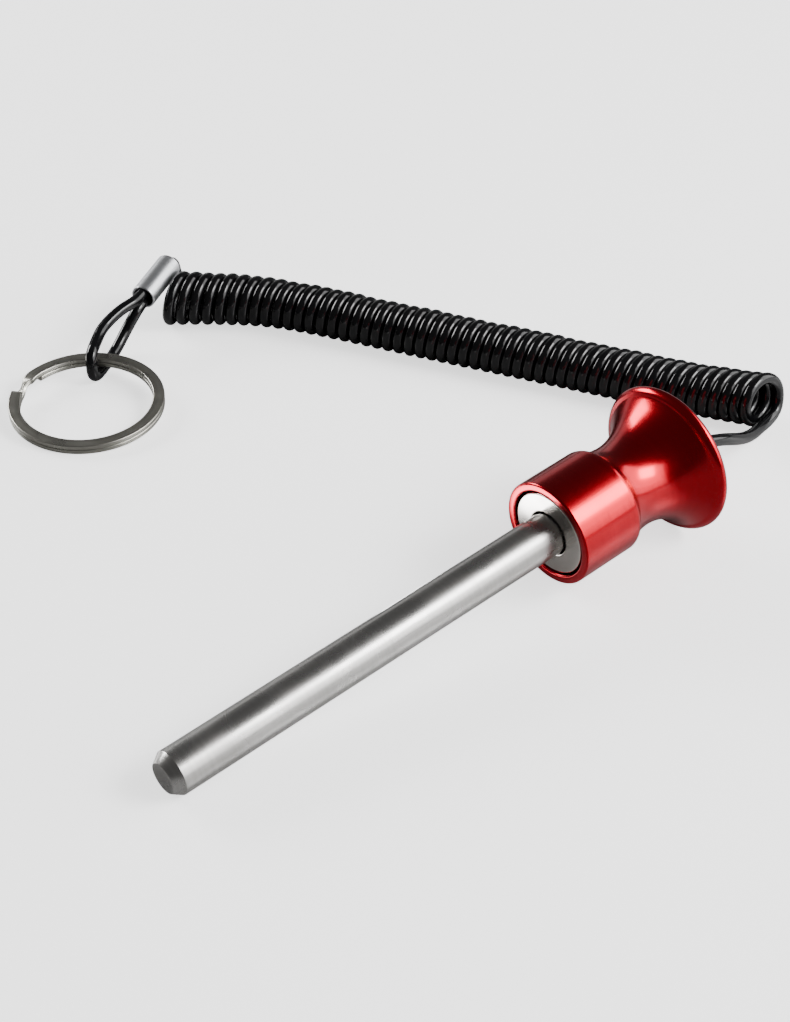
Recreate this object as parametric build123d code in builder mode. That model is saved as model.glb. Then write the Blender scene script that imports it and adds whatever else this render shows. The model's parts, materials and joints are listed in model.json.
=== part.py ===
"""Magnetic locking pin with a coiled tether and a split key ring.

The pin lies on a surface, resting on the edge of its tip and on the rim of its knob.
+X runs along the pin in plan, from tip to knob, and +Z is up, with z = 0 the surface.
The origin is under the middle of the pin. Lengths are in millimetres.
"""

import os
from math import asin, atan, cos, degrees, hypot, radians, sin, tan

from build123d import *

os.makedirs("parts", exist_ok=True)

# Shank
shank_diameter = 10.0
shank_exposed = 103.9
tip_chamfer_length = 2.2
tip_chamfer_depth = 1.5
shank_seat_diameter = 9.6
shank_fit = 0.02

# Knob, from its front face back
collar_diameter = 25.0
collar_length = 15.6
collar_edge_round = 0.5
shoulder_length = 2.0
shoulder_drop = 1.2
waist_offset = 23.7
waist_radius = 10.25
flare_end_offset = 36.3
flare_end_radius = 16.4
rim_offset = 38.0
rim_diameter = 36.0
back_offset = 39.3
back_edge_radius = 16.9
back_dish_depth = 1.2

# Magnet in the front of the collar
magnet_outer_diameter = 19.8
magnet_inner_diameter = 10.6
magnet_thickness = 8.0
magnet_recess = 0.4
magnet_edge = 0.3
pocket_diameter = 20.9
pocket_edge = 0.3

# Screw that draws the shank into the knob, and its spring washer
screw_diameter = 5.0
screw_clearance = 0.25
screw_length_in_shank = 10.0
screw_thread_fit = 0.03
screw_head_diameter = 8.5
screw_head_height = 5.0
screw_socket_across = 4.0
screw_socket_depth = 2.5
web_thickness = 4.0
lock_washer_diameter = 9.2
lock_washer_thickness = 1.2
lock_washer_split = 0.8
cavity_diameter = 14.0

# Cap in the back of the knob, and the stop on the cord behind it
cap_diameter = 18.0
cap_thickness = 3.0
cap_fit = 0.02
cap_edge = 0.3
cap_boss_diameter = 6.8
cap_boss_height = 1.4
cord_hole_clearance = 0.15
stop_washer_diameter = 9.0
stop_washer_thickness = 0.8
stop_sleeve_diameter = 5.2
stop_sleeve_length = 5.0
stop_clearance = 1.0
stop_grip = 0.2
sleeve_fit = 0.02

# Cord and coil
cord_diameter = 3.0
coil_diameter = 13.4
coil_turn_clearance = 0.2
first_turn_radius = 4.6
last_turn_radius = 5.0
ferrule_exit_bend = 3.0

# Ferrule crimped over the cord's two strands
ferrule_diameter = 6.7
ferrule_wall = 0.75
ferrule_edge = 0.25
strand_split = 0.06
strand_fit = 0.01

# Split key ring: two turns of flat wire, with a cranked step between them
ring_diameter = 39.2
ring_wire_width = 2.9
ring_wire_thickness = 1.25
ring_turn_gap = 0.1
ring_centre = (-5.53, 127.2)
ring_over_cord = 0.15
ring_heading = -40.64
upper_end_angle = 171.0
crank_top_angle = 146.0
lower_end_angle = 141.5

# The pin leans because its rim is wider than its tip.
shank_radius = shank_diameter / 2
rim_radius = rim_diameter / 2
collar_front = shank_exposed
rim_station = collar_front + rim_offset
back_station = collar_front + back_offset
lean = atan((rim_radius - shank_radius) / (rim_station - tip_chamfer_length))
along = Vector(cos(lean), 0, sin(lean))
across = Vector(-sin(lean), 0, cos(lean))
tip_radius = shank_radius - tip_chamfer_depth
front_reach = -tip_radius * sin(lean)
back_reach = back_station * cos(lean) + back_edge_radius * sin(lean)
tip_centre = Vector(
    -(front_reach + back_reach) / 2,
    0,
    shank_radius * cos(lean) - tip_chamfer_length * sin(lean),
)
meridian = Plane(origin=tip_centre, x_dir=along, z_dir=(0, -1, 0))
pin_axis = Axis(tip_centre, along)


def on_pin(station, height=0.0):
    """A point at a distance along the pin's axis from the tip, and above the axis."""
    return tip_centre + along * station + across * height


def corner_radii(points):
    """One radius for each inner corner of a route, as large as its two runs allow."""
    runs = [b - a for a, b in zip(points, points[1:])]
    radii = []
    for before, after in zip(runs, runs[1:]):
        half_turn = radians(before.get_angle(after)) / 2
        shorter = min(before.length, after.length)
        radii.append(0.45 * shorter / tan(half_turn))
    return radii


def report_route(name, points, radii):
    """Print a route's length and its radii."""
    runs = [(b - a).length for a, b in zip(points, points[1:])]
    print(name, "runs", [round(run, 1) for run in runs], "sum", round(sum(runs), 1))
    print(name, "radii", [round(radius, 1) for radius in radii])


# Stations inside the knob, from its back face forward to the magnet, so that the shank's
# seat takes up what the other pieces leave
cap_outer = back_station - back_dish_depth
boss_end = cap_outer + cap_boss_height
cap_inner = cap_outer - cap_thickness
stop_washer_start = cap_inner - stop_washer_thickness
stop_sleeve_start = stop_washer_start - stop_sleeve_length
cord_start = stop_sleeve_start + stop_grip
head_end = stop_sleeve_start - stop_clearance
head_start = head_end - screw_head_height
cavity_floor = head_start - lock_washer_thickness
shank_end = cavity_floor - web_thickness
pocket_floor = collar_front + magnet_recess + magnet_thickness
cord_radius = cord_diameter / 2
cord_hole_radius = cord_radius + cord_hole_clearance
screw_radius = screw_diameter / 2
thread_radius = screw_radius + screw_thread_fit

# --- Shank ---------------------------------------------------------------------------
# It is ground to size up to the collar, and turned down a little inside the knob.
seat_radius = shank_seat_diameter / 2
thread_floor = shank_end - screw_length_in_shank - 1.0
with BuildPart() as shank:
    with BuildSketch(meridian):
        with BuildLine():
            Polyline(
                (0, 0),
                (0, tip_radius),
                (tip_chamfer_length, shank_radius),
                (collar_front, shank_radius),
                (collar_front, seat_radius),
                (shank_end, seat_radius),
                (shank_end, thread_radius),
                (thread_floor, thread_radius),
                (thread_floor, 0),
                close=True,
            )
        make_face()
    revolve(axis=pin_axis)
shank.part.label = "shank"
export_step(shank.part, "parts/shank.step")

# --- Knob ----------------------------------------------------------------------------
collar_radius = collar_diameter / 2
pocket_radius = pocket_diameter / 2
shoulder_start = collar_front + collar_length
shoulder_end = shoulder_start + shoulder_length
shoulder_radius = collar_radius - shoulder_drop
waist = (collar_front + waist_offset, waist_radius)
flare_end = (collar_front + flare_end_offset, flare_end_radius)
rim = (rim_station, rim_radius)
rim_front_bulge = (
    flare_end[0] + 0.32 * (rim[0] - flare_end[0]),
    flare_end[1] + 0.66 * (rim[1] - flare_end[1]),
)
rim_back_bulge = (
    rim[0] + 0.62 * (back_station - rim[0]),
    rim[1] - 0.36 * (rim[1] - back_edge_radius),
)
shoulder_bulge = (
    shoulder_start + 0.6 * shoulder_length,
    collar_radius - 0.25 * shoulder_drop,
)
cap_seat_radius = cap_diameter / 2
cavity_radius = cavity_diameter / 2
bore_radius = seat_radius + shank_fit
dish_edge = (back_station, back_edge_radius - 0.8)
with BuildPart() as knob:
    with BuildSketch(meridian):
        with BuildLine():
            Line(
                (collar_front, pocket_radius + pocket_edge),
                (collar_front, collar_radius - collar_edge_round),
            )
            ThreePointArc(
                (collar_front, collar_radius - collar_edge_round),
                (collar_front + 0.293 * collar_edge_round, collar_radius - 0.293 * collar_edge_round),
                (collar_front + collar_edge_round, collar_radius),
            )
            Line((collar_front + collar_edge_round, collar_radius), (shoulder_start, collar_radius))
            ThreePointArc((shoulder_start, collar_radius), shoulder_bulge, (shoulder_end, shoulder_radius))
            ThreePointArc((shoulder_end, shoulder_radius), waist, flare_end)
            ThreePointArc(flare_end, rim_front_bulge, rim)
            ThreePointArc(rim, rim_back_bulge, (back_station, back_edge_radius))
            Polyline(
                (back_station, back_edge_radius),
                dish_edge,
                (cap_outer, cap_seat_radius + cap_edge),
                (cap_outer, cap_seat_radius),
                (cap_inner, cap_seat_radius),
                (cap_inner, cavity_radius),
                (cavity_floor, cavity_radius),
                (cavity_floor, screw_radius + screw_clearance),
                (shank_end, screw_radius + screw_clearance),
                (shank_end, bore_radius),
                (pocket_floor, bore_radius),
                (pocket_floor, pocket_radius),
                (collar_front + pocket_edge, pocket_radius),
                (collar_front, pocket_radius + pocket_edge),
            )
        make_face()
    revolve(axis=pin_axis)
knob.part.label = "knob"
export_step(knob.part, "parts/knob.step")

# --- Ring magnet ---------------------------------------------------------------------
magnet_front = collar_front + magnet_recess
magnet_outer = magnet_outer_diameter / 2
magnet_inner = magnet_inner_diameter / 2
with BuildPart() as ring_magnet:
    with BuildSketch(meridian):
        with BuildLine():
            Polyline(
                (magnet_front, magnet_inner + magnet_edge),
                (magnet_front, magnet_outer - magnet_edge),
                (magnet_front + magnet_edge, magnet_outer),
                (pocket_floor, magnet_outer),
                (pocket_floor, magnet_inner),
                (magnet_front + magnet_edge, magnet_inner),
                close=True,
            )
        make_face()
    revolve(axis=pin_axis)
ring_magnet.part.label = "ring_magnet"
export_step(ring_magnet.part, "parts/ring_magnet.step")

# --- Shank screw ---------------------------------------------------------------------
screw_tip = shank_end - screw_length_in_shank
screw_head_radius = screw_head_diameter / 2
head_plane = Plane(origin=on_pin(head_end), x_dir=across, z_dir=along)
with BuildPart() as shank_screw:
    with BuildSketch(meridian):
        with BuildLine():
            Polyline(
                (screw_tip, 0),
                (screw_tip, screw_radius - 0.5),
                (screw_tip + 0.5, screw_radius),
                (head_start, screw_radius),
                (head_start, screw_head_radius),
                (head_end - 0.4, screw_head_radius),
                (head_end, screw_head_radius - 0.4),
                (head_end, 0),
                close=True,
            )
        make_face()
    revolve(axis=pin_axis)
    with BuildSketch(head_plane):
        RegularPolygon(radius=screw_socket_across / 2, side_count=6, major_radius=False)
    extrude(amount=-screw_socket_depth, mode=Mode.SUBTRACT)
shank_screw.part.label = "shank_screw"
export_step(shank_screw.part, "parts/shank_screw.step")

# --- Spring washer under the screw's head --------------------------------------------
washer_plane = Plane(origin=on_pin(cavity_floor), x_dir=across, z_dir=along)
with BuildPart() as lock_washer:
    with BuildSketch(washer_plane):
        Circle(lock_washer_diameter / 2)
        Circle(screw_radius + screw_clearance, mode=Mode.SUBTRACT)
        with Locations((lock_washer_diameter / 2, 0)):
            Rectangle(lock_washer_diameter, lock_washer_split, mode=Mode.SUBTRACT)
    extrude(amount=lock_washer_thickness)
lock_washer.part.label = "lock_washer"
export_step(lock_washer.part, "parts/lock_washer.step")

# --- Cap in the knob's back ----------------------------------------------------------
cap_radius = cap_seat_radius - cap_fit
boss_radius = cap_boss_diameter / 2
with BuildPart() as back_cap:
    with BuildSketch(meridian):
        with BuildLine():
            Polyline(
                (cap_inner, cord_hole_radius),
                (cap_inner, cap_radius),
                (cap_outer - cap_edge, cap_radius),
                (cap_outer, cap_radius - cap_edge),
                (cap_outer, boss_radius),
                (boss_end - 0.5, boss_radius - 0.4),
                (boss_end, boss_radius - 0.9),
                (boss_end, cord_hole_radius),
                close=True,
            )
        make_face()
    revolve(axis=pin_axis)
back_cap.part.label = "back_cap"
export_step(back_cap.part, "parts/back_cap.step")

# --- Washer and crimped sleeve that stop the cord behind the cap ---------------------
with BuildPart() as stop_washer:
    with BuildSketch(Plane(origin=on_pin(stop_washer_start), x_dir=across, z_dir=along)):
        Circle(stop_washer_diameter / 2)
        Circle(cord_hole_radius, mode=Mode.SUBTRACT)
    extrude(amount=stop_washer_thickness)
stop_washer.part.label = "stop_washer"
export_step(stop_washer.part, "parts/stop_washer.step")

with BuildPart() as stop_sleeve:
    with BuildSketch(Plane(origin=on_pin(stop_sleeve_start), x_dir=across, z_dir=along)):
        Circle(stop_sleeve_diameter / 2)
        Circle(cord_radius + sleeve_fit, mode=Mode.SUBTRACT)
    extrude(amount=stop_sleeve_length)
stop_sleeve.part.label = "stop_sleeve"
export_step(stop_sleeve.part, "parts/stop_sleeve.step")

# --- Cord from the stop, out of the cap and down to the coil --------------------------
cord_low = cord_radius + coil_turn_clearance
last_tail_corner = Vector(107.0, 5.2, 5.5)
first_turn_low = Vector(124.2, 12.0, cord_low)
tail_route = [
    on_pin(cord_start),
    on_pin(boss_end + 4.6),
    Vector(88.0, -0.3, 15.3),
    Vector(98.0, 2.0, 9.7),
    last_tail_corner,
    last_tail_corner + (first_turn_low - last_tail_corner) * 0.42,
]
tail_radii = corner_radii(tail_route)
report_route("tail", tail_route, tail_radii)
with BuildPart() as tether_tail:
    with BuildLine():
        FilletPolyline(tail_route, radius=tail_radii)
    with BuildSketch(Plane(origin=tail_route[0], z_dir=along)):
        Circle(cord_radius)
    sweep()
tether_tail.part.label = "tether_tail"
export_step(tether_tail.part, "parts/tether_tail.step")

# --- Ferrule at the coil's far end ---------------------------------------------------
ferrule_back = Vector(40.9, 155.8, 13.8)
ferrule_mouth = Vector(27.2, 148.6, 11.9)
ferrule_line = (ferrule_back - ferrule_mouth).normalized()
ferrule_side = Vector(0, 0, 1).cross(ferrule_line).normalized()
ferrule_up = ferrule_line.cross(ferrule_side).normalized()
ferrule_length = (ferrule_back - ferrule_mouth).length
ferrule_plane = Plane(origin=ferrule_mouth, x_dir=ferrule_side, z_dir=ferrule_line)
ferrule_radius = ferrule_diameter / 2
ferrule_bore = ferrule_radius - ferrule_wall
with BuildPart() as ferrule:
    with BuildSketch(ferrule_plane):
        Circle(ferrule_radius)
        Circle(ferrule_bore, mode=Mode.SUBTRACT)
    extrude(amount=ferrule_length)
    outer_edges = ferrule.edges().filter_by(GeomType.CIRCLE).sort_by(lambda edge: edge.radius)[-2:]
    chamfer(outer_edges, length=ferrule_edge)
ferrule.part.label = "ferrule"
export_step(ferrule.part, "parts/ferrule.step")

# Inside the crimp the two strands are pressed into halves of one round.
with BuildPart() as crimped_strands:
    with BuildSketch(ferrule_plane):
        Circle(ferrule_bore - strand_fit)
        Rectangle(ferrule_diameter, strand_split, mode=Mode.SUBTRACT)
    extrude(amount=ferrule_length)
crimped_strands.part.label = "crimped_strands"
export_step(crimped_strands.part, "parts/crimped_strands.step")

# --- Coil: one fat tube, with the loosened turn at each of its ends -------------------
coil_radius = coil_diameter / 2
coil_route = [
    Vector(117.5, 15.5, coil_radius),
    Vector(108.5, 30.3, coil_radius),
    Vector(93.0, 61.5, coil_radius),
    Vector(75.4, 96.0, coil_radius),
    Vector(61.2, 125.2, coil_radius),
    Vector(51.6, 138.3, coil_radius),
    Vector(39.5, 149.6, coil_radius),
]
coil_radii = corner_radii(coil_route)
report_route("coil", coil_route, coil_radii)

cord_high = coil_diameter - cord_low
first_turn_route = [
    tail_route[-1],
    first_turn_low,
    Vector(123.6, 12.6, cord_high + 0.8),
    Vector(115.0, 18.5, cord_high),
]
last_turn_top = ferrule_back + ferrule_line * (1.2 * ferrule_exit_bend)
last_turn_route = [
    Vector(41.2, 147.4, cord_low),
    Vector(last_turn_top.X, last_turn_top.Y, cord_low),
    last_turn_top,
    ferrule_back,
]
with BuildPart() as tether_coil:
    with BuildLine():
        FilletPolyline(coil_route, radius=coil_radii)
    with BuildSketch(Plane(origin=coil_route[0], z_dir=coil_route[1] - coil_route[0])):
        Circle(coil_radius)
    sweep()
    for turn_route, turn_radii in (
        (first_turn_route, [first_turn_radius, first_turn_radius]),
        (last_turn_route, [last_turn_radius, ferrule_exit_bend]),
    ):
        with BuildLine():
            FilletPolyline(turn_route, radius=turn_radii)
        with BuildSketch(Plane(origin=turn_route[0], z_dir=turn_route[1] - turn_route[0])):
            Circle(cord_radius)
        sweep()
tether_coil.part.label = "tether_coil"
export_step(tether_coil.part, "parts/tether_coil.step")

# --- Cord loop out of the ferrule and round the key ring's wire -----------------------
strand_offset = ferrule_up * (cord_radius + 0.05)
loop_route = [
    ferrule_mouth + strand_offset,
    ferrule_mouth + strand_offset - ferrule_line * 4.4,
    Vector(18.4, 146.3, 12.3),
    Vector(11.8, 145.0, 10.2),
    Vector(7.2, 141.5, 9.0),
    Vector(3.0, 137.6, 8.4),
    Vector(3.1, 137.4, cord_radius + 0.1),
    Vector(8.9, 140.8, cord_radius),
    Vector(15.1, 145.1, cord_radius + 0.1),
    Vector(20.4, 147.4, 5.0),
    ferrule_mouth - strand_offset - ferrule_line * 3.6,
    ferrule_mouth - strand_offset,
]
loop_radii = corner_radii(loop_route)
report_route("loop", loop_route, loop_radii)
with BuildPart() as tether_loop:
    with BuildLine():
        FilletPolyline(loop_route, radius=loop_radii)
    with BuildSketch(Plane(origin=loop_route[0], z_dir=loop_route[1] - loop_route[0])):
        Circle(cord_radius)
    sweep()
tether_loop.part.label = "tether_loop"
export_step(tether_loop.part, "parts/tether_loop.step")

# --- Split key ring, raised at its back by the cord under it --------------------------
ring_radius = ring_diameter / 2
ring_middle = ring_radius - ring_wire_width / 2
ring_inner = ring_radius - ring_wire_width
ring_tilt = asin((cord_diameter + ring_over_cord) / (ring_radius + ring_inner))
ring_right = Vector(cos(radians(ring_heading)), sin(radians(ring_heading)), 0)
ring_back = Vector(-ring_right.Y, ring_right.X, 0)
ring_normal = ring_back * -sin(ring_tilt) + Vector(0, 0, cos(ring_tilt))
ring_origin = Vector(ring_centre[0], ring_centre[1], ring_radius * sin(ring_tilt))
ring_plane = Plane(origin=ring_origin, x_dir=ring_right, z_dir=ring_normal)
upper_level = ring_wire_thickness + ring_turn_gap


def wire_section(angle, level):
    """The plane across the wire at an angle round the ring, at a level above its face."""
    outward = ring_plane.x_dir * cos(radians(angle)) + ring_plane.y_dir * sin(radians(angle))
    middle = ring_origin + outward * ring_middle + ring_normal * (level + ring_wire_thickness / 2)
    return Plane(origin=middle, x_dir=outward, z_dir=ring_normal.cross(outward))


ring_axis = Axis(ring_origin, ring_normal)
crank_angles = (upper_end_angle, (upper_end_angle + crank_top_angle) / 2, crank_top_angle)
with BuildPart() as key_ring:
    with BuildSketch(wire_section(lower_end_angle, 0)):
        Rectangle(ring_wire_width, ring_wire_thickness)
    revolve(axis=ring_axis, revolution_arc=-(360 - upper_end_angle + lower_end_angle))
    with BuildSketch(wire_section(crank_top_angle, upper_level)):
        Rectangle(ring_wire_width, ring_wire_thickness)
    revolve(axis=ring_axis, revolution_arc=-(360 - upper_end_angle + crank_top_angle))
    for step, angle in enumerate(crank_angles):
        with BuildSketch(wire_section(angle, upper_level * step / 2)):
            Rectangle(ring_wire_width, ring_wire_thickness)
    loft(ruled=True)
key_ring.part.label = "key_ring"
export_step(key_ring.part, "parts/key_ring.step")

# Places that the record repeats
print("lean", round(degrees(lean), 4), "along", along, "tip", tip_centre)
print("collar front", on_pin(collar_front), "exit", on_pin(boss_end))
print("ring tilt", round(degrees(ring_tilt), 3), "origin", ring_origin)
swing_height = (upper_level + ring_wire_thickness) / 2
swing_point = ring_origin + ring_plane.y_dir * ring_middle + ring_normal * swing_height
print("swing point", swing_point, "axis", ring_right)
coil_line = coil_route[-1] - coil_route[0]
print("stretch axis", coil_line.normalized(), "coil span", round(hypot(coil_line.X, coil_line.Y), 1))
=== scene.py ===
"""Looks of a magnetic locking pin with a coiled tether and a split key ring."""

import json
import logging
import math
from dataclasses import dataclass, field
from enum import Enum
from typing import Any, Iterable, Sequence

import bmesh
import bpy
from mathutils import Matrix, Vector

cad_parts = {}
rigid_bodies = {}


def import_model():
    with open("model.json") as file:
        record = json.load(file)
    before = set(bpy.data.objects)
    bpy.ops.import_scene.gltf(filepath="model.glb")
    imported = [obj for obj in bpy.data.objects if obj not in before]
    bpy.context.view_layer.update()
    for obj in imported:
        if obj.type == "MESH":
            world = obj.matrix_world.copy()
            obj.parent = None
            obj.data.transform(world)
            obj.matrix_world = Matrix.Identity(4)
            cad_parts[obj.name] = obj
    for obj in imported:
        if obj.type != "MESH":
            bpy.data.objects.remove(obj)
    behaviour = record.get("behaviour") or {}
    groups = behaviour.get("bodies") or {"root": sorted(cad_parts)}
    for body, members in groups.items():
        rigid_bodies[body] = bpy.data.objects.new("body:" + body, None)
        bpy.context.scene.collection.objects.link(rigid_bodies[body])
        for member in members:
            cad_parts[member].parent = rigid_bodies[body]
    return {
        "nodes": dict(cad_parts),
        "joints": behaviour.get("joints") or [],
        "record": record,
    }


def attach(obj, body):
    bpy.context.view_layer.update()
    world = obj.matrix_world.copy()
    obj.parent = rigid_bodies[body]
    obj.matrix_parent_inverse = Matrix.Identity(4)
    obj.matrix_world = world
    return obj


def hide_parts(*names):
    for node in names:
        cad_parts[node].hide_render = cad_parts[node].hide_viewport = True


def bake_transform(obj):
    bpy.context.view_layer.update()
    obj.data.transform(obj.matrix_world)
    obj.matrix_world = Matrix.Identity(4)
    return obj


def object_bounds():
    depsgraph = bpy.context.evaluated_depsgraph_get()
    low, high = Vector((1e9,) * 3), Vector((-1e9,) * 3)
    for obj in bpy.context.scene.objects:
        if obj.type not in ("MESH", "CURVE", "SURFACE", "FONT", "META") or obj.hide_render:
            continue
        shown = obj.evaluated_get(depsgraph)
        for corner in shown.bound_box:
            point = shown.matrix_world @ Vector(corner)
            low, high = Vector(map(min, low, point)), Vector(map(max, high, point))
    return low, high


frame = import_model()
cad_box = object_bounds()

MM = 0.001
FULL_TURN = 2 * math.pi
# Numbers of the sockets of a Mix node that hold its share and its colours
MIX_SHARE, MIX_FIRST_COLOUR, MIX_SECOND_COLOUR, MIX_COLOUR = 0, 6, 7, 2
log = logging.getLogger("locking_pin")

Point = tuple[float, float]
Outline = list[Point]


class LineDirection(Enum):
    """Which way a metal's fine tool lines run."""

    ROUND_THE_AXIS = "round the axis"
    CONCENTRIC = "concentric on a face"


class Hand(Enum):
    """Which way a coil is wound as it runs away from the knob."""

    LEFT = -1
    RIGHT = 1


@dataclass(frozen=True)
class Placing:
    """A piece's own axis in the frame: where it starts and where it points."""

    origin: Vector
    direction: Vector

    def matrix(self) -> Matrix:
        """The transform that takes the piece's own Z onto the axis."""
        turn = self.direction.to_track_quat("Z", "Y").to_matrix().to_4x4()
        return Matrix.Translation(self.origin) @ turn

    def at(self, station: float) -> Vector:
        """The point on the axis at a station in millimetres."""
        return self.origin + self.direction * (station * MM)


# ---------------------------------------------------------------- wiring and finishes


class Wiring:
    """Adds nodes to a shader tree and joins their sockets."""

    def __init__(self, tree: bpy.types.NodeTree) -> None:
        """Keep the tree that the nodes go into."""
        self.tree = tree

    def node(
        self, kind: str, inputs: dict[Any, Any] | None = None, **settings: Any
    ) -> bpy.types.Node:
        """Add one node.

        Args:
            kind: The node's type name.
            inputs: Socket name or number, and the value or the socket that feeds it.
            **settings: Properties of the node itself.

        Returns:
            The new node.
        """
        made = self.tree.nodes.new(kind)
        for key, value in settings.items():
            setattr(made, key, value)
        self.feed(made, inputs or {})
        return made

    def feed(self, target: bpy.types.Node, inputs: dict[Any, Any]) -> None:
        """Set a node's inputs.

        Args:
            target: The node.
            inputs: Socket name or number, and the value or the socket that feeds it.
        """
        for key, value in inputs.items():
            if isinstance(value, bpy.types.NodeSocket):
                self.tree.links.new(value, target.inputs[key])
            else:
                target.inputs[key].default_value = value

    def math(self, operation: str, *values: Any) -> bpy.types.NodeSocket:
        """The output of one Math node fed with these values or sockets."""
        return self.node("ShaderNodeMath", dict(enumerate(values)), operation=operation).outputs[0]

    def ramp(
        self, value: Any, low: float, high: float, new_low: Any, new_high: Any
    ) -> bpy.types.NodeSocket:
        """Map a value from one range onto another, and keep it inside.

        Args:
            value: The value or socket.
            low: Where the old range starts.
            high: Where it ends.
            new_low: What the old start becomes.
            new_high: What the old end becomes.

        Returns:
            The mapped value.
        """
        inputs = {
            "Value": value,
            "From Min": low,
            "From Max": high,
            "To Min": new_low,
            "To Max": new_high,
        }
        return self.node("ShaderNodeMapRange", inputs).outputs[0]

    def mix(self, share: Any, first: Any, second: Any) -> bpy.types.NodeSocket:
        """A colour between two, by a share from 0 to 1."""
        inputs = {MIX_SHARE: share, MIX_FIRST_COLOUR: first, MIX_SECOND_COLOUR: second}
        return self.node("ShaderNodeMix", inputs, data_type="RGBA").outputs[MIX_COLOUR]


class Effects:
    """Shader node groups that more than one finish uses, each built once."""

    def __init__(self) -> None:
        """Build every group."""
        self.tool_lines = self._tool_lines()
        self.smudges = self._smudges()
        self.scratches = self._scratches()

    @staticmethod
    def _group(
        name: str, inputs: Sequence[tuple[str, str, float]], outputs: Sequence[str]
    ) -> tuple[Wiring, bpy.types.Node, bpy.types.Node]:
        """Start a group.

        Args:
            name: The group's name.
            inputs: Name, socket type and default of each input.
            outputs: Names of the float outputs.

        Returns:
            The wiring, the node that holds the inputs and the node that takes the outputs.
        """
        tree = bpy.data.node_groups.new(name, "ShaderNodeTree")
        for label, kind, default in inputs:
            socket = tree.interface.new_socket(label, in_out="INPUT", socket_type=kind)
            if kind == "NodeSocketFloat":
                socket.default_value = default
        for label in outputs:
            tree.interface.new_socket(label, in_out="OUTPUT", socket_type="NodeSocketFloat")
        wiring = Wiring(tree)
        return wiring, wiring.node("NodeGroupInput"), wiring.node("NodeGroupOutput")

    def _tool_lines(self) -> bpy.types.NodeTree:
        """Fine parallel lines that a lathe or a brush leaves, by one coordinate in metres.

        Returns:
            The group, with a height and a tone from 0 to 1.
        """
        wiring, given, result = self._group(
            "tool_lines",
            [("Along", "NodeSocketFloat", 0.0), ("Lines Per Metre", "NodeSocketFloat", 9000.0)],
            ["Height", "Tone"],
        )
        fine_at = wiring.math(
            "MULTIPLY", given.outputs["Along"], given.outputs["Lines Per Metre"]
        )
        broad_at = wiring.math("MULTIPLY", fine_at, 0.13)
        fine, broad = (
            wiring.node(
                "ShaderNodeTexNoise",
                {"W": at, "Scale": 1.0, "Detail": detail},
                noise_dimensions="1D",
            )
            for at, detail in ((fine_at, 2.0), (broad_at, 1.0))
        )
        height = wiring.math("MULTIPLY_ADD", broad.outputs[0], 0.6, fine.outputs[0])
        wiring.feed(result, {"Height": height, "Tone": broad.outputs[0]})
        return wiring.tree

    def _smudges(self) -> bpy.types.NodeTree:
        """Soft patches that handling leaves.

        Returns:
            The group, with a mask from 0 to 1.
        """
        wiring, given, result = self._group(
            "smudges",
            [("Vector", "NodeSocketVector", 0.0), ("Scale", "NodeSocketFloat", 60.0)],
            ["Mask"],
        )
        patches = wiring.node(
            "ShaderNodeTexNoise",
            {
                "Vector": given.outputs["Vector"],
                "Scale": given.outputs["Scale"],
                "Detail": 4.0,
                "Roughness": 0.62,
                "Distortion": 0.8,
            },
        )
        wiring.feed(result, {"Mask": wiring.ramp(patches.outputs[0], 0.35, 0.72, 0.0, 1.0)})
        return wiring.tree

    def _scratches(self) -> bpy.types.NodeTree:
        """Sparse thin marks along the piece's own Z.

        Returns:
            The group, with a mask from 0 to 1.
        """
        wiring, given, result = self._group(
            "scratches",
            [
                ("Vector", "NodeSocketVector", 0.0),
                ("Scale", "NodeSocketFloat", 900.0),
                ("Stretch", "NodeSocketFloat", 0.03),
            ],
            ["Mask"],
        )
        apart = wiring.node("ShaderNodeSeparateXYZ", {"Vector": given.outputs["Vector"]})
        short = wiring.math("MULTIPLY", apart.outputs["Z"], given.outputs["Stretch"])
        drawn = wiring.node(
            "ShaderNodeCombineXYZ", {"X": apart.outputs["X"], "Y": apart.outputs["Y"], "Z": short}
        )
        grain = wiring.node(
            "ShaderNodeTexNoise",
            {
                "Vector": drawn.outputs[0],
                "Scale": given.outputs["Scale"],
                "Detail": 3.0,
                "Roughness": 0.7,
            },
        )
        wiring.feed(result, {"Mask": wiring.ramp(grain.outputs[0], 0.56, 0.74, 0.0, 1.0)})
        return wiring.tree


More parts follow.
